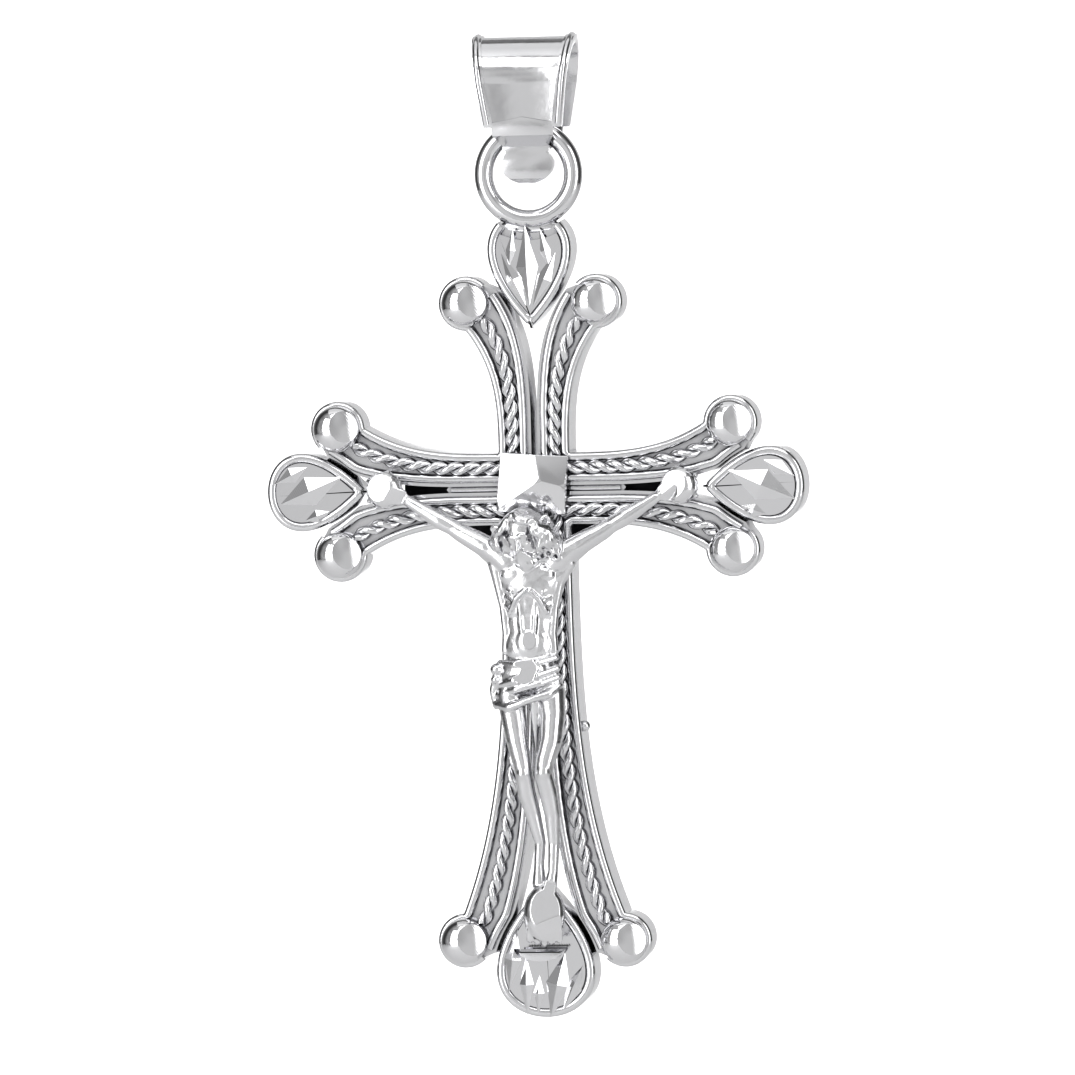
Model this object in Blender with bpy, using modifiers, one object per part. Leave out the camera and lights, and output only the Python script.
"""Crucifix pendant: a flared cross of wire-edged strips that swings in a tapered bail.

Lengths are written in millimetres and scaled by MM. The world origin is the chain
seat, the inside top of the bail. +X is to the right of someone facing the figure,
the front faces -Y and +Z is up. The cross hangs from a ring whose top wire lies in
the bail's lower seat, and swings on that wire's axis.

On an arm, "along" is the distance from the crossing and "across" the distance from
the arm's middle line.
"""
import math

import bmesh
import bpy
from mathutils import Matrix, Vector

MM = 0.001

# Hanging ring, in the plane of the cross
RING_MIDDLE_RADIUS = 1.72
RING_WIRE_RADIUS = 0.36

# Bail. The ring's top wire hangs in its seat with room to swing.
RING_PLAY = 0.14
BAIL_SEAT_RADIUS = RING_WIRE_RADIUS + RING_PLAY
BAIL_WALL = 0.35
BAIL_SEAT_HALF_ANGLE = math.radians(30)
BAIL_THROAT_HALF = 0.85
BAIL_CHANNEL_HALF = 1.30
BAIL_CHANNEL_LEVEL = 1.70
BAIL_SEAT_TO_CHAIN = 3.22
BAIL_TOP_HALF_WIDTH = 1.97
BAIL_SKIRT_HALF_WIDTH = 1.50
BAIL_SKIRT_LEVEL = 0.10
BAIL_NECK_HALF_WIDTH = 0.45
BAIL_NECK_TOP = -0.42
BAIL_NECK_BOTTOM = -0.64
BAIL_LOBE_HALF_WIDTH = 1.00
BAIL_LOBE_HALF_DEPTH = 0.45
BAIL_LOBE_DROP = 2.10

# Cross plates, as depths from the middle plane
PLATE_FRONT = -0.10
PLATE_BACK = 1.00
SEAM = 0.03

# Strips
CORE_HALF_WIDTH = 1.45
GAP_POWER = 4.7
OUTER_LEDGE = 0.055 * CORE_HALF_WIDTH
INNER_LEDGE = 0.152 * CORE_HALF_WIDTH
STRIP_WIRE_RADIUS = 0.11 * CORE_HALF_WIDTH
CORNER_RADIUS = 1.55 * STRIP_WIRE_RADIUS

# Beads, each with a flat foot and a facet that cuts its front
BEAD_RADIUS = 0.86
BEAD_HALF_DEPTH = 0.58
BEAD_FOOT = 0.93 * BEAD_HALF_DEPTH
BEAD_FACET_NORMAL = Vector((0.42, -0.90, 0.12)).normalized()
BEAD_FACET_DISTANCE = 0.80 * BEAD_HALF_DEPTH
SEAT_RADIUS = 1.22 * BEAD_RADIUS
CURL_END = math.radians(-46)
CURL_TO_WIRE_END = 0.30
STRIP_END_PAST_BEAD = 0.55

# Where the outer edge's flare meets a bead's seat, as shares of the seat's radius
FLARE_BEFORE_BEAD = 0.86
FLARE_BEYOND_BEAD = 0.16

# Petals
RIM_RADIUS = 0.18
RIM_LEDGE = 0.05
FACET_RISE = 0.62
FACET_EDGE_RISE = 0.22

# Title plaque
PLAQUE_WIDTH = 2.60
PLAQUE_HEIGHT = 2.24
PLAQUE_THICKNESS = 0.70
PLAQUE_CENTRE = 0.22
PLAQUE_TILT = math.radians(4)

# Figure, by where its hands and feet come on the arms
HANDS_BEHIND_BEADS = 1.92
FEET_BEFORE_END = 2.94
FIGURE_BACK_GAP = 0.04
FIGURE_SKIN_GRAIN = 0.13
FIGURE_TRIANGLES = 1300

# Foot rest, just under the feet
FOOT_REST_WIDTH = 1.70
FOOT_REST_HEIGHT = 0.42
FOOT_REST_DEPTH = 0.95
FOOT_REST_GAP = 0.22

def arm(reach, petal_length, petal_half_width, bead_back, bead_across, flare_power, gap_flare, steps):
    """An arm by its reach from the crossing, its petal, and its beads' place behind the petal's end.

    flare_power bends the outer edge, gap_flare opens the middle gap at the beads.
    """
    return dict(
        petal_end=reach,
        petal_tip=reach - petal_length,
        petal_half_width=petal_half_width,
        bead_along=reach - bead_back,
        bead_across=bead_across,
        flare_power=flare_power,
        gap_flare=gap_flare,
        steps=steps,
    )


ARMS = {
    "top": arm(10.70, 4.64, 1.66, 3.60, 2.50, 3.0, 0.90, 9),
    "side": arm(10.40, 4.00, 1.54, 2.83, 2.41, 3.0, 0.80, 9),
    "bottom": arm(20.27, 5.27, 1.95, 3.00, 3.09, 3.3, 1.46, 13),
}

QUADRANTS = {
    "upper_left": (-1, 1),
    "upper_right": (1, 1),
    "lower_left": (-1, -1),
    "lower_right": (1, -1),
}

# The twisted wire fills the channel between the plain wires at the crossing.
PLAIN_WIRES = OUTER_LEDGE + INNER_LEDGE + 4.0 * STRIP_WIRE_RADIUS
ROPE_RADIUS = 0.5 * (CORE_HALF_WIDTH - 0.5 * SEAM - PLAIN_WIRES) - SEAM

# Worked-out depths
WIRE_DEPTH = PLATE_FRONT - SEAM - STRIP_WIRE_RADIUS
ROPE_DEPTH = PLATE_FRONT - SEAM - ROPE_RADIUS
ROPE_FRONT = ROPE_DEPTH - ROPE_RADIUS
RIM_DEPTH = PLATE_FRONT - SEAM - RIM_RADIUS
BEAD_DEPTH = PLATE_FRONT - SEAM - BEAD_FOOT
FIGURE_BACK = ROPE_FRONT - FIGURE_BACK_GAP
FACET_FRONT = PLATE_FRONT - FACET_RISE

# The figure's reach on the arms
FIGURE_HALF_SPAN = ARMS["side"]["bead_along"] - HANDS_BEHIND_BEADS
FIGURE_DROP = ARMS["bottom"]["petal_end"] - FEET_BEFORE_END
FOOT_REST_DROP = FIGURE_DROP + FOOT_REST_GAP

# Distances below the swing axis. The ring bites into the top petal's round end.
RING_DROP = RING_MIDDLE_RADIUS
RING_OUTER_RADIUS = RING_MIDDLE_RADIUS + RING_WIRE_RADIUS
RING_BITE = 0.80
CROSSING_DROP = RING_DROP + RING_OUTER_RADIUS - RING_BITE + ARMS["top"]["petal_end"]
AXIS_HEIGHT = -BAIL_SEAT_TO_CHAIN

# Fineness of the outlines, as steps
CURL_STEPS = 11
SEAT_STEPS = 16
RIM_STEPS = 10
EDGE_SUBSTEPS = 12

# Half width of a drop, sin(a) sin(a/2), at its widest
DROP_WIDEST = 4.0 / (3.0 * math.sqrt(3.0))

SILVER = (0.90, 0.90, 0.91)
BRIGHT_CUT = (0.95, 0.95, 0.96)

# Turn a shape from its own XY plane to the front view, and to the side view
STAND_UP = Matrix.Rotation(math.radians(90), 4, "X")
FACE_SIDEWAYS = Matrix(((0, 0, 1, 0), (1, 0, 0, 0), (0, 1, 0, 0), (0, 0, 0, 1)))


def clear_scene():
    for thing in list(bpy.data.objects):
        bpy.data.objects.remove(thing, do_unlink=True)


def new_collection(name):
    group = bpy.data.collections.new(name)
    bpy.context.scene.collection.children.link(group)
    return group


def metal(name, colour, roughness):
    """A polished metal, one for each piece."""
    material = bpy.data.materials.new(name + "_metal")
    material.use_nodes = True
    shader = material.node_tree.nodes["Principled BSDF"]
    shader.inputs["Base Color"].default_value = (*colour, 1.0)
    shader.inputs["Metallic"].default_value = 1.0
    shader.inputs["Roughness"].default_value = roughness
    return material


class Build:
    """Holds the collections and the frame that the cross pieces hang in."""

    def __init__(self):
        self.parts = new_collection("crucifix_pendant")
        self.cutters = new_collection("cutters")
        self.swing_axis = bpy.data.objects.new("swing_axis", None)
        self.swing_axis.location = (0.0, 0.0, AXIS_HEIGHT * MM)
        self.parts.objects.link(self.swing_axis)

    def add(self, name, data, colour=SILVER, roughness=0.14, depth=0.0, on_cross=True):
        """Link a piece. Cross pieces are modelled about the crossing and hang in the frame."""
        piece = bpy.data.objects.new(name, data)
        data.materials.clear()
        data.materials.append(metal(name, colour, roughness))
        self.parts.objects.link(piece)
        if on_cross:
            piece.parent = self.swing_axis
            piece.location = (0.0, depth * MM, -CROSSING_DROP * MM)
        return piece


def poly_curve(name, points, closed, dimensions):
    """A curve with straight stretches between points given in millimetres."""
    curve = bpy.data.curves.new(name, "CURVE")
    curve.dimensions = dimensions
    add_spline(curve, points, closed)
    return curve


def add_spline(curve, points, closed):
    spline = curve.splines.new("POLY")
    spline.points.add(len(points) - 1)
    for slot, point in zip(spline.points, points):
        place = Vector(point).to_3d() * MM
        slot.co = (*place, 1.0)
    spline.use_cyclic_u = closed


def tube(name, points, radius, closed=False):
    curve = poly_curve(name, points, closed, "3D")
    curve.bevel_depth = radius * MM
    curve.bevel_resolution = 2
    curve.use_fill_caps = not closed
    return curve


def plate(name, outlines, thickness):
    """A flat plate from closed outlines, the later ones holes, lying in its own XY plane."""
    curve = poly_curve(name, outlines[0], True, "2D")
    for outline in outlines[1:]:
        add_spline(curve, outline, True)
    curve.fill_mode = "BOTH"
    curve.extrude = 0.5 * thickness * MM
    return curve


def solid_mesh(name, data, turn=Matrix.Identity(4)):
    """Turn a curve into a mesh with its doubled corners merged."""
    holder = bpy.data.objects.new(name + "_source", data)
    bpy.context.scene.collection.objects.link(holder)
    bpy.context.view_layer.update()
    graph = bpy.context.evaluated_depsgraph_get()
    mesh = bpy.data.meshes.new_from_object(holder.evaluated_get(graph))
    mesh.name = name
    bpy.data.objects.remove(holder, do_unlink=True)
    shape = bmesh.new()
    shape.from_mesh(mesh)
    bmesh.ops.remove_doubles(shape, verts=shape.verts, dist=1e-6)
    bmesh.ops.transform(shape, matrix=turn, verts=shape.verts)
    bmesh.ops.recalc_face_normals(shape, faces=shape.faces)
    shape.to_mesh(mesh)
    shape.free()
    return mesh


def cut_away(shape, point, normal):
    """Slice off what lies on the normal's side of a plane and close the slice."""
    geometry = shape.verts[:] + shape.edges[:] + shape.faces[:]
    result = bmesh.ops.bisect_plane(
        shape, geom=geometry, dist=1e-8, plane_co=Vector(point) * MM, plane_no=normal,
        clear_outer=True,
    )
    rim = [item for item in result["geom_cut"] if isinstance(item, bmesh.types.BMEdge)]
    bmesh.ops.holes_fill(shape, edges=rim, sides=0)


def walk(start, end, steps):
    return [start + (end - start) * step / steps for step in range(steps + 1)]


def arc(centre, radius, start, end, steps):
    """Points on an arc, angles from the first axis towards the second."""
    return [
        (centre[0] + radius * math.cos(angle), centre[1] + radius * math.sin(angle))
        for angle in walk(start, end, steps)
    ]


def rounded(points, index, radius, steps=4):
    """Replace one corner of a path by an arc-like bend that ends `radius` from the corner."""
    corner = Vector(points[index])
    before = corner + (Vector(points[index - 1]) - corner).normalized() * radius
    after = corner + (Vector(points[index + 1]) - corner).normalized() * radius
    bend = [
        tuple(before.lerp(corner, share).lerp(corner.lerp(after, share), share))
        for share in walk(0.0, 1.0, steps)
    ]
    return points[:index] + bend + points[index + 1:]


# Arm outlines

def drop_share(angle):
    return math.sin(angle) * math.sin(0.5 * angle) / DROP_WIDEST


def teardrop(tip, end, half_width, steps):
    """Half a drop's edge as (along, across), from its tip to its round end."""
    middle = 0.5 * (tip + end)
    half_length = 0.5 * (end - tip)
    return [
        (middle - half_length * math.cos(angle), half_width * drop_share(angle))
        for angle in walk(0.0, math.pi, steps)
    ]


def drop_half_width(tip, end, half_width, along):
    """The drop's half width at one place, zero beyond its ends."""
    if not tip < along < end:
        return 0.0
    cosine = (0.5 * (tip + end) - along) / (0.5 * (end - tip))
    return half_width * drop_share(math.acos(cosine))


def outer_edge(arm, along):
    """Half width of the cross at one place on an arm."""
    flare_along = arm["bead_along"] - FLARE_BEFORE_BEAD * SEAT_RADIUS
    flare_across = arm["bead_across"] + FLARE_BEYOND_BEAD * SEAT_RADIUS
    share = (along - CORE_HALF_WIDTH) / (flare_along - CORE_HALF_WIDTH)
    return CORE_HALF_WIDTH + (flare_across - CORE_HALF_WIDTH) * max(share, 0.0) ** arm["flare_power"]


def inner_edge(arm, along):
    """Half width of the gap between an arm's two strips, which opens to clear the petal."""
    share = max(along, 0.0) / arm["bead_along"]
    gap = 0.5 * SEAM + arm["gap_flare"] * share ** GAP_POWER
    petal = drop_half_width(arm["petal_tip"], arm["petal_end"], arm["petal_half_width"], along)
    return max(gap, petal + SEAM)


def edge_to_seat(arm, inset, seat_radius):
    """Points along an arm's outer edge, drawn in by `inset`, up to the bead's seat."""
    bead = Vector((arm["bead_along"], arm["bead_across"]))
    points = []
    for along in walk(CORE_HALF_WIDTH - inset, arm["bead_along"], EDGE_SUBSTEPS * arm["steps"]):
        point = Vector((along, outer_edge(arm, along) - inset))
        if (point - bead).length <= seat_radius:
            break
        points.append(tuple(point))
    return points[:-1:EDGE_SUBSTEPS] + [points[-1]]


def seat_arc(arm, radius, last, end, steps):
    """Points round a bead from the outer edge's last point, by the outside, to an angle."""
    bead = (arm["bead_along"], arm["bead_across"])
    start = math.atan2(last[1] - bead[1], last[0] - bead[0]) % (2.0 * math.pi)
    return arc(bead, radius, start, end, steps)


def strip_half_outline(arm):
    """One arm's share of a strip's outline, from the outer corner round to the inner one."""
    outline = edge_to_seat(arm, 0.0, SEAT_RADIUS)
    outline = outline[:-1] + seat_arc(arm, SEAT_RADIUS, outline[-1], CURL_END, SEAT_STEPS)
    end = arm["bead_along"] + STRIP_END_PAST_BEAD
    inner = [(along, inner_edge(arm, along)) for along in walk(end, 0.0, 2 * arm["steps"])]
    return outline + inner[:-1]


def outer_wire_half(arm):
    inset = OUTER_LEDGE + STRIP_WIRE_RADIUS
    curl_radius = SEAT_RADIUS - STRIP_WIRE_RADIUS
    edge = edge_to_seat(arm, inset, curl_radius)
    curl = seat_arc(arm, curl_radius, edge[-1], CURL_END, CURL_STEPS)
    path = edge[:-1] + curl
    return rounded(path, len(edge) - 1, 0.75 * STRIP_WIRE_RADIUS, 2)


def inner_wire_across(arm, along):
    return inner_edge(arm, along) + INNER_LEDGE + STRIP_WIRE_RADIUS


def inner_wire_half(arm):
    end = arm["bead_along"] + CURL_TO_WIRE_END
    start = inner_wire_across(arm, 0.0)
    steps = arm["steps"] + 4
    return [(along, inner_wire_across(arm, along)) for along in walk(start, end, steps)]


def rope_across(arm, along):
    outer = outer_edge(arm, along) - OUTER_LEDGE - STRIP_WIRE_RADIUS
    return 0.5 * (outer + inner_wire_across(arm, along))


def rope_points(arm, start):
    """The twisted wire's middle line, which stops at the bead."""
    bead = Vector((arm["bead_along"], arm["bead_across"]))
    clear = SEAT_RADIUS + 0.5 * ROPE_RADIUS
    points = []
    for along in walk(start, arm["bead_along"], EDGE_SUBSTEPS * arm["steps"]):
        point = Vector((along, rope_across(arm, along)))
        if (point - bead).length <= clear:
            break
        points.append(tuple(point))
    return points[:-1:EDGE_SUBSTEPS] + [points[-1]]


def vertical_arm(signs):
    return ARMS["top"] if signs[1] > 0 else ARMS["bottom"]


def on_vertical(signs, points):
    return [(signs[0] * across, signs[1] * along) for along, across in points]


def on_side(signs, points):
    return [(signs[0] * along, signs[1] * across) for along, across in points]


def at_depth(points, depth):
    """Front-view points as places in space."""
    return [(across, depth, height) for across, height in points]


# Pieces

def make_strip(build, quadrant, signs):
    """A flat L from one arm's bead round the crossing's corner to the next arm's bead."""
    upright = on_vertical(signs, strip_half_outline(vertical_arm(signs)))
    sideways = on_side(signs, strip_half_outline(ARMS["side"]))
    outline = upright[::-1] + sideways[1:]
    data = plate("corner_strip_" + quadrant, [outline], PLATE_BACK - PLATE_FRONT)
    strip = build.add("corner_strip_" + quadrant, data, depth=0.5 * (PLATE_BACK + PLATE_FRONT))
    strip.rotation_euler = (math.radians(90), 0.0, 0.0)


def make_outer_wire(build, quadrant, signs):
    upright = on_vertical(signs, outer_wire_half(vertical_arm(signs)))
    sideways = on_side(signs, outer_wire_half(ARMS["side"]))
    path = upright[::-1] + sideways[1:]
    path = rounded(path, len(upright) - 1, CORNER_RADIUS)
    name = "outer_wire_" + quadrant
    build.add(name, tube(name, at_depth(path, WIRE_DEPTH), STRIP_WIRE_RADIUS))


def make_inner_wire(build, quadrant, signs):
    upright = on_vertical(signs, inner_wire_half(vertical_arm(signs)))
    sideways = on_side(signs, inner_wire_half(ARMS["side"]))
    path = upright[::-1] + sideways[1:]
    path = rounded(path, len(upright) - 1, CORNER_RADIUS)
    name = "inner_wire_" + quadrant
    build.add(name, tube(name, at_depth(path, WIRE_DEPTH), STRIP_WIRE_RADIUS))


def make_ropes(build, quadrant, signs):
    """Two twisted wires for a quadrant. The upright one passes the corner, the other meets it."""
    corner = rope_across(ARMS["side"], CORE_HALF_WIDTH - OUTER_LEDGE)
    upright = rope_points(vertical_arm(signs), corner - ROPE_RADIUS)
    sideways = rope_points(ARMS["side"], corner + ROPE_RADIUS + SEAM)
    for arm_name, path in (("upright", on_vertical(signs, upright)),
                           ("side", on_side(signs, sideways))):
        name = f"rope_wire_{quadrant}_{arm_name}"
        build.add(name, tube(name, at_depth(path, ROPE_DEPTH), ROPE_RADIUS), roughness=0.22)


def bead_mesh(name):
    """An oblate bead with a flat foot and one bright-cut facet."""
    shape = bmesh.new()
    bmesh.ops.create_uvsphere(shape, u_segments=14, v_segments=8, radius=BEAD_RADIUS * MM)
    flatten = Matrix.Diagonal((1.0, 1.0, BEAD_HALF_DEPTH / BEAD_RADIUS, 1.0))
    bmesh.ops.transform(shape, matrix=STAND_UP @ flatten, verts=shape.verts)
    cut_away(shape, (0.0, BEAD_FOOT, 0.0), Vector((0.0, 1.0, 0.0)))
    cut_away(shape, BEAD_FACET_NORMAL * BEAD_FACET_DISTANCE, BEAD_FACET_NORMAL)
    mesh = bpy.data.meshes.new(name)
    shape.to_mesh(mesh)
    shape.free()
    return mesh


def make_beads(build, quadrant, signs):
    upright = vertical_arm(signs)
    side = ARMS["side"]
    places = (
        ("upright", on_vertical(signs, [(upright["bead_along"], upright["bead_across"])])[0]),
        ("side", on_side(signs, [(side["bead_along"], side["bead_across"])])[0]),
    )
    for arm_name, place in places:
        name = f"bead_{quadrant}_{arm_name}"
        bead = build.add(name, bead_mesh(name), colour=BRIGHT_CUT, roughness=0.08)
        bead.location.x = place[0] * MM
        bead.location.y = BEAD_DEPTH * MM
        bead.location.z += place[1] * MM


def arm_turn(direction):
    """Turns a shape whose arm points up to the arm's own direction, about the crossing."""
    angles = {"top": 0.0, "right": 90.0, "bottom": 180.0, "left": 270.0}
    return Matrix.Rotation(math.radians(angles[direction]), 4, "Y")


def petal_edge(arm, inset, steps):
    """Half a petal's edge, drawn in by `inset`, as (across, along)."""
    half_length = 0.5 * (arm["petal_end"] - arm["petal_tip"])
    slope = math.atan2(arm["petal_half_width"] * 1.3, half_length)
    tip = arm["petal_tip"] + inset / math.sin(slope)
    points = teardrop(tip, arm["petal_end"] - inset, arm["petal_half_width"] - inset, steps)
    return [(across, along) for along, across in points]


def petal_top(inset):
    """Height of the ring's middle over the crossing, and how near to it the top petal comes."""
    centre = CROSSING_DROP - RING_DROP
    return centre, RING_OUTER_RADIUS + SEAM + inset


def trimmed_under_ring(points, inset):
    """Keep the points clear of the ring, and end on its outside."""
    centre, reach = petal_top(inset)
    kept = [point for point in points if math.hypot(point[0], point[1] - centre) >= reach]
    first_lost = points[len(kept)]
    low, high = Vector(kept[-1]), Vector(first_lost)
    for _ in range(24):
        middle = 0.5 * (low + high)
        if math.hypot(middle.x, middle.y - centre) >= reach:
            low = middle
        else:
            high = middle
    return kept + [tuple(low)]


def petal_outline(arm, direction, inset, steps=16):
    """A petal's closed outline. The top one ends in a hollow that fits the ring."""
    half = petal_edge(arm, inset, steps)
    if direction == "top":
        half = trimmed_under_ring(half, inset)
        centre, reach = petal_top(inset)
        start = math.atan2(half[-1][1] - centre, half[-1][0])
        hollow = arc((0.0, centre), reach, start, -math.pi - start, 8)
        left = [(-across, along) for across, along in half[1:-1]]
        return half + hollow[1:] + left[::-1]
    left = [(-across, along) for across, along in half[1:-1]]
    return half + left[::-1]


def raise_gem(shape, outline, front):
    """Stand a prism on the petal: an outline lifted from inside the plate to its own front."""
    base = [shape.verts.new(Vector((across, 0.5 * PLATE_BACK, along)) * MM) for across, along in outline]
    face = shape.faces.new(base)
    lifted = bmesh.ops.extrude_face_region(shape, geom=[face])
    moved = [item for item in lifted["geom"] if isinstance(item, bmesh.types.BMVert)]
    bmesh.ops.translate(shape, verts=moved, vec=Vector((0.0, front - 0.5 * PLATE_BACK, 0.0)) * MM)
    bmesh.ops.recalc_face_normals(shape, faces=shape.faces)


def gem_mesh(arm, direction):
    """The petal's raised middle, cut to facets that fall from a ridge to the rim."""
    inset = RIM_LEDGE + 2.0 * RIM_RADIUS + SEAM
    shape = bmesh.new()
    raise_gem(shape, petal_outline(arm, direction, inset, 10), FACET_FRONT)
    middle = 0.5 * (arm["petal_tip"] + arm["petal_end"])
    half_width = arm["petal_half_width"] - inset
    fall = math.atan2(FACET_RISE - FACET_EDGE_RISE, half_width)
    ridge = Vector((0.0, FACET_FRONT, middle))
    for lean in (-1.0, 1.0):
        for skew in (-0.25, 0.25):
            normal = Vector((lean * math.sin(fall), -math.cos(fall), skew * math.sin(fall)))
            cut_away(shape, ridge, normal.normalized())
    mesh = bpy.data.meshes.new("gem_" + direction)
    shape.to_mesh(mesh)
    shape.free()
    return mesh


def unite(build, piece, mesh, name):
    """Join a second closed mesh to a piece with a Boolean."""
    extra = bpy.data.objects.new(name, mesh)
    extra.parent = piece.parent
    extra.matrix_parent_inverse = piece.matrix_parent_inverse.copy()
    extra.location = piece.location
    extra.rotation_euler = piece.rotation_euler
    extra.hide_render = True
    extra.display_type = "WIRE"
    build.cutters.objects.link(extra)
    add_boolean(piece, extra, "UNION")


def add_boolean(piece, other, operation):
    modifier = piece.modifiers.new(other.name, "BOOLEAN")
    modifier.solver = "EXACT"
    modifier.operation = operation
    modifier.object = other


def make_petal(build, direction):
    arm = ARMS["side" if direction in ("left", "right") else direction]
    name = "petal_" + direction
    outline = petal_outline(arm, direction, 0.0)
    shift = Matrix.Translation((0.0, 0.5 * (PLATE_BACK + PLATE_FRONT) * MM, 0.0))
    mesh = solid_mesh(name, plate(name, [outline], PLATE_BACK - PLATE_FRONT), shift @ STAND_UP)
    mesh.transform(arm_turn(direction))
    petal = build.add(name, mesh, colour=BRIGHT_CUT, roughness=0.08)
    gem = gem_mesh(arm, direction)
    gem.transform(arm_turn(direction))
    unite(build, petal, gem, "gem_" + direction)


def make_petal_rim(build, direction):
    """The raised edge wire. The top petal's is open where it meets the ring."""
    arm = ARMS["side" if direction in ("left", "right") else direction]
    inset = RIM_LEDGE + RIM_RADIUS
    half = petal_edge(arm, inset, RIM_STEPS)
    if direction == "top":
        half = trimmed_under_ring(half, inset)
    left = [(-across, along) for across, along in half[1:]]
    path = left[::-1] + half if direction == "top" else left[:-1][::-1] + half
    tip = len(path) - len(half)
    path = rounded(path, tip, 1.7 * RIM_RADIUS)
    turn = arm_turn(direction)
    places = [tuple(turn @ Vector(place)) for place in at_depth(path, RIM_DEPTH)]
    name = "petal_rim_" + direction
    build.add(name, tube(name, places, RIM_RADIUS, closed=direction != "top"))


def make_ring(build):
    """The hanging ring, in the plane of the cross."""
    bpy.ops.mesh.primitive_torus_add(
        major_segments=32, minor_segments=10,
        major_radius=RING_MIDDLE_RADIUS * MM, minor_radius=RING_WIRE_RADIUS * MM,
    )
    maker = bpy.context.active_object
    mesh = maker.data.copy()
    bpy.data.objects.remove(maker, do_unlink=True)
    mesh.transform(STAND_UP)
    ring = build.add("hanging_ring", mesh)
    ring.location.z = -RING_DROP * MM


def bail_side_half(wall):
    """Half the bail's side view from bottom to top, as (depth, height from the axis)."""
    seat = BAIL_SEAT_RADIUS
    angle = BAIL_SEAT_HALF_ANGLE
    if wall == 0.0:
        bottom = arc((0.0, 0.0), seat, -0.5 * math.pi, -0.5 * math.pi + angle, 4)
        run = (BAIL_THROAT_HALF - bottom[-1][0]) / math.cos(angle)
        throat = (BAIL_THROAT_HALF, bottom[-1][1] + run * math.sin(angle))
        points = bottom + [throat]
    else:
        lobe_middle = -0.5 * (seat + BAIL_LOBE_DROP)
        points = [
            (0.0, -BAIL_LOBE_DROP),
            (0.6 * BAIL_LOBE_HALF_DEPTH, -0.97 * BAIL_LOBE_DROP),
            (BAIL_LOBE_HALF_DEPTH, lobe_middle),
            (BAIL_LOBE_HALF_DEPTH, -seat - 0.5 * wall),
            (BAIL_THROAT_HALF + wall, -0.25),
        ]
    top = BAIL_SEAT_TO_CHAIN - BAIL_CHANNEL_LEVEL
    for angle in walk(0.0, 0.5 * math.pi, 10):
        depth = (BAIL_CHANNEL_HALF + wall) * math.cos(angle)
        height = BAIL_CHANNEL_LEVEL + (top + wall) * math.sin(angle)
        points.append((depth, height))
    return points


def closed_from_half(half):
    """A whole outline from its right half, whose first and last points are on the middle."""
    left = [(-across, height) for across, height in half[1:-1]]
    return half + left[::-1]


def bail_front_half():
    """Half the bail's front view from the lobe's tip to the domed top."""
    lobe_middle = -0.5 * (BAIL_LOBE_DROP - BAIL_NECK_BOTTOM)
    lobe_half_height = BAIL_LOBE_DROP + lobe_middle
    lobe = [
        (BAIL_LOBE_HALF_WIDTH * math.cos(angle), lobe_middle + lobe_half_height * math.sin(angle))
        for angle in walk(-0.5 * math.pi, math.radians(40), 9)
    ]
    top = BAIL_SEAT_TO_CHAIN + BAIL_WALL
    neck = [(BAIL_NECK_HALF_WIDTH, BAIL_NECK_BOTTOM), (BAIL_NECK_HALF_WIDTH, BAIL_NECK_TOP)]
    skirt = [(BAIL_SKIRT_HALF_WIDTH, BAIL_SKIRT_LEVEL)]
    crown = [(BAIL_TOP_HALF_WIDTH, top), (0.0, top + BAIL_WALL)]
    return lobe + neck + skirt + crown


def make_bail(build):
    """A tapered strap loop: its side view carried across, kept inside its front view."""
    lift = Matrix.Translation((0.0, 0.0, AXIS_HEIGHT * MM))
    loop = [closed_from_half(bail_side_half(BAIL_WALL)), closed_from_half(bail_side_half(0.0))]
    across = 2.0 * (BAIL_TOP_HALF_WIDTH + BAIL_WALL)
    mesh = solid_mesh("bail", plate("bail", loop, across), lift @ FACE_SIDEWAYS)
    bail = build.add("bail", mesh, on_cross=False)
    front = plate("bail_front", [closed_from_half(bail_front_half())], 4.0 * BAIL_CHANNEL_HALF)
    outline = bpy.data.objects.new("bail_outline", solid_mesh("bail_front", front, lift @ STAND_UP))
    outline.hide_render = True
    outline.display_type = "WIRE"
    build.cutters.objects.link(outline)
    add_boolean(bail, outline, "INTERSECT")


def make_plaque(build):
    """The title tablet above the head, bright-cut to sloping triangles."""
    shape = bmesh.new()
    bmesh.ops.create_cube(shape, size=1.0)
    size = Matrix.Diagonal((PLAQUE_WIDTH * MM, PLAQUE_THICKNESS * MM, PLAQUE_HEIGHT * MM, 1.0))
    bmesh.ops.transform(shape, matrix=size, verts=shape.verts)
    front = -0.5 * PLAQUE_THICKNESS
    for normal in ((-0.22, -1.0, 0.06), (0.14, -1.0, 0.20), (0.10, -1.0, -0.24)):
        cut_away(shape, (0.1 * PLAQUE_WIDTH, front + 0.04, 0.0), Vector(normal).normalized())
    mesh = bpy.data.meshes.new("title_plaque")
    shape.to_mesh(mesh)
    shape.free()
    plaque = build.add("title_plaque", mesh, colour=BRIGHT_CUT, roughness=0.08)
    plaque.location.y = (ROPE_FRONT - SEAM - 0.5 * PLAQUE_THICKNESS) * MM
    plaque.location.z += PLAQUE_CENTRE * MM
    plaque.rotation_euler = (0.0, PLAQUE_TILT, 0.0)


# Figure, modelled in whole units so that the remesh works on a coarse grid. Its stations are
# set for feet that end at MODEL_DROP under the crossing.

MODEL_DROP = 17.33


def ball(shape, centre, radii):
    """An ellipsoid."""
    place = Matrix.Translation(centre) @ Matrix.Diagonal((*radii, 1.0))
    bmesh.ops.create_icosphere(shape, subdivisions=3, radius=1.0, matrix=place)


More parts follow.
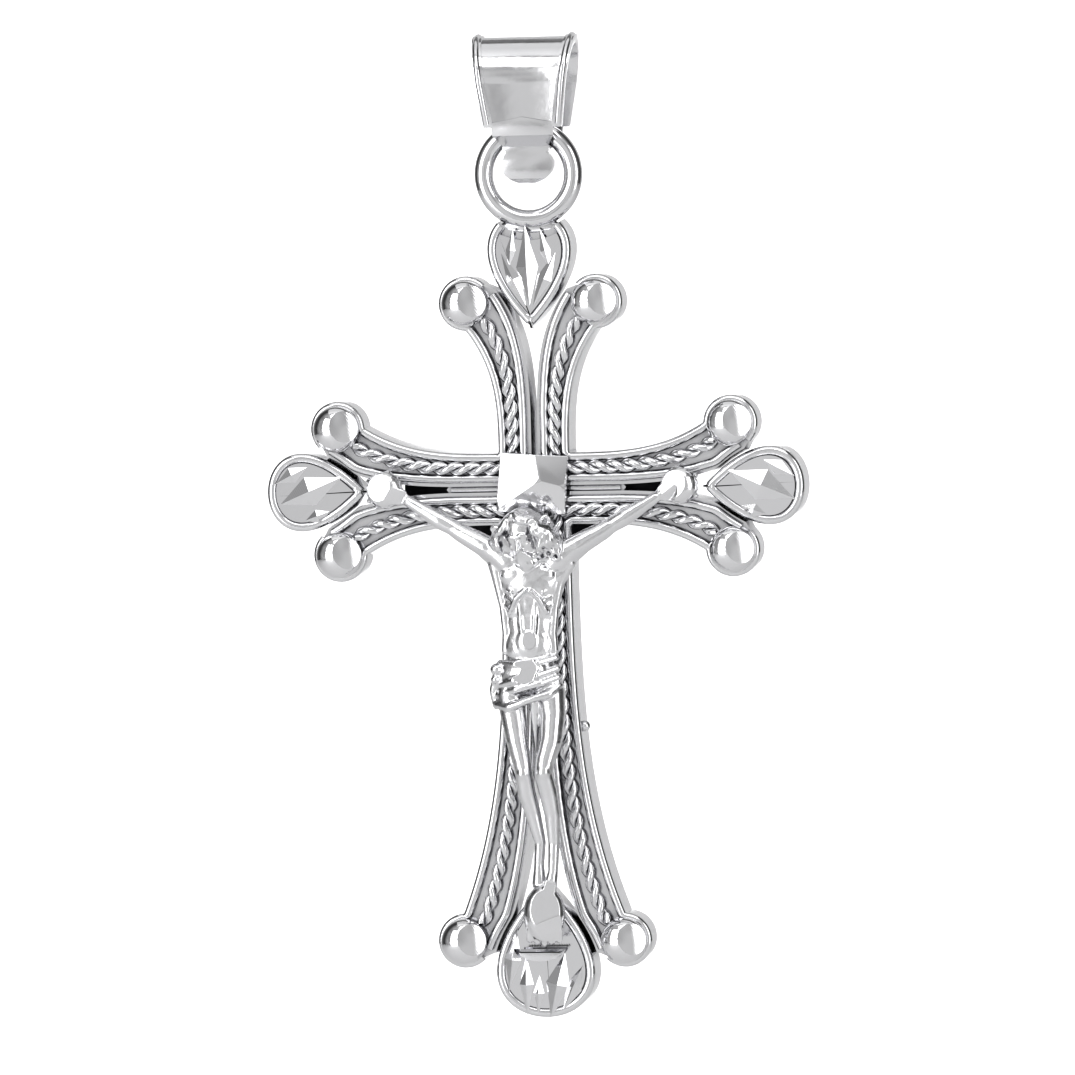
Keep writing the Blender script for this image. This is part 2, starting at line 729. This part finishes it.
def limb(shape, path):
    """Tapering round stretches between (x, depth, height, radius) stations."""
    for first, second in zip(path, path[1:]):
        start, end = Vector(first[:3]), Vector(second[:3])
        run = end - start
        turn = run.to_track_quat("Z", "Y").to_matrix().to_4x4()
        place = Matrix.Translation(0.5 * (start + end)) @ turn
        bmesh.ops.create_cone(
            shape, cap_ends=True, segments=16, radius1=first[3], radius2=second[3],
            depth=run.length, matrix=place,
        )
    for station in path:
        ball(shape, station[:3], (station[3],) * 3)


def figure_arm(shape, side):
    """Shoulder, elbow, wrist and open hand of one raised arm."""
    span = FIGURE_HALF_SPAN
    limb(shape, [
        (side * 1.05, -1.45, -2.45, 0.50),
        (side * 0.50 * span, -1.20, -1.52, 0.40),
        (side * 0.60 * span, -1.15, -1.20, 0.37),
        (side * 0.88 * span, -1.00, -0.22, 0.25),
    ])
    ball(shape, (side * span, -1.02, 0.08), (0.62, 0.36, 0.50))


def figure_torso(shape):
    ball(shape, (-0.12, -1.45, -3.35), (1.25, 0.72, 1.05))
    ball(shape, (-0.15, -1.40, -4.60), (0.98, 0.66, 1.05))
    ball(shape, (-0.18, -1.35, -5.70), (0.98, 0.62, 0.95))
    limb(shape, [(-0.15, -1.60, -2.70, 0.42), (-0.22, -1.75, -2.20, 0.40)])


def figure_head(shape):
    """A bowed head with its hair and beard as plain masses."""
    ball(shape, (-0.30, -1.95, -1.75), (0.72, 0.80, 0.98))
    ball(shape, (-0.34, -1.98, -2.75), (0.44, 0.52, 0.50))
    ball(shape, (-0.22, -1.72, -1.35), (1.12, 0.86, 0.78))
    for side in (-1.0, 1.0):
        ball(shape, (-0.25 + side * 0.95, -1.55, -2.05), (0.50, 0.60, 0.85))


def figure_cloth(shape):
    """The loincloth with its knot on the right."""
    ball(shape, (-0.15, -1.40, -7.00), (1.28, 0.78, 0.95))
    limb(shape, [(-0.85, -1.55, -6.80, 0.42), (0.75, -1.60, -7.40, 0.42)])
    ball(shape, (1.02, -1.45, -7.30), (0.42, 0.50, 0.62))


def figure_legs(shape):
    """Two legs that close together and cross at the ankles, over overlapped feet."""
    limb(shape, [
        (-0.62, -1.45, -7.60, 0.68),
        (-0.30, -1.75, -10.60, 0.50),
        (-0.10, -1.60, -12.40, 0.45),
        (0.02, -1.45, -14.80, 0.30),
    ])
    limb(shape, [
        (0.42, -1.40, -7.60, 0.68),
        (0.42, -1.65, -10.60, 0.50),
        (0.38, -1.45, -12.30, 0.44),
        (0.14, -1.35, -14.80, 0.30),
    ])
    ball(shape, (0.02, -1.60, -16.15), (0.72, 0.52, 1.18))


def figure_mesh():
    """Join the masses in one skin, flat behind, and bring it to true size."""
    shape = bmesh.new()
    for side in (-1.0, 1.0):
        figure_arm(shape, side)
    figure_torso(shape)
    figure_head(shape)
    figure_cloth(shape)
    figure_legs(shape)
    rough = bpy.data.meshes.new("figure_masses")
    shape.to_mesh(rough)
    shape.free()
    holder = bpy.data.objects.new("figure_masses", rough)
    bpy.context.scene.collection.objects.link(holder)
    remesh = holder.modifiers.new("one_skin", "REMESH")
    remesh.mode = "VOXEL"
    remesh.voxel_size = FIGURE_SKIN_GRAIN
    bpy.context.view_layer.update()
    skin_faces = len(holder.evaluated_get(bpy.context.evaluated_depsgraph_get()).data.polygons)
    thin = holder.modifiers.new("thin_out", "DECIMATE")
    thin.ratio = FIGURE_TRIANGLES / (2.0 * skin_faces)
    bpy.context.view_layer.update()
    graph = bpy.context.evaluated_depsgraph_get()
    mesh = bpy.data.meshes.new_from_object(holder.evaluated_get(graph))
    mesh.name = "corpus"
    bpy.data.objects.remove(holder, do_unlink=True)
    mesh.transform(Matrix.Diagonal((MM, MM, MM * FIGURE_DROP / MODEL_DROP, 1.0)))
    return mesh


def make_figure(build):
    mesh = figure_mesh()
    shape = bmesh.new()
    shape.from_mesh(mesh)
    cut_away(shape, (0.0, FIGURE_BACK, 0.0), Vector((0.0, 1.0, 0.0)))
    shape.to_mesh(mesh)
    shape.free()
    build.add("corpus", mesh, roughness=0.20)


def make_foot_rest(build):
    """A small half-round ledge under the feet, standing on the bottom petal."""
    half = 0.5 * FOOT_REST_WIDTH
    outline = arc((0.0, 0.0), 1.0, math.pi, 2.0 * math.pi, 12)
    outline = [(half * across, FOOT_REST_HEIGHT * height) for across, height in outline]
    ledge = build.add("foot_rest", plate("foot_rest", [outline], FOOT_REST_DEPTH))
    ledge.rotation_euler = (math.radians(90), 0.0, 0.0)
    ledge.location.y = (FACET_FRONT - SEAM - 0.5 * FOOT_REST_DEPTH) * MM
    ledge.location.z -= FOOT_REST_DROP * MM


def main():
    clear_scene()
    build = Build()
    make_bail(build)
    make_ring(build)
    for quadrant, signs in QUADRANTS.items():
        make_strip(build, quadrant, signs)
        make_outer_wire(build, quadrant, signs)
        make_inner_wire(build, quadrant, signs)
        make_ropes(build, quadrant, signs)
        make_beads(build, quadrant, signs)
    for direction in ("top", "right", "bottom", "left"):
        make_petal(build, direction)
        make_petal_rim(build, direction)
    make_plaque(build)
    make_figure(build)
    make_foot_rest(build)


if __name__ == "__main__":
    main()
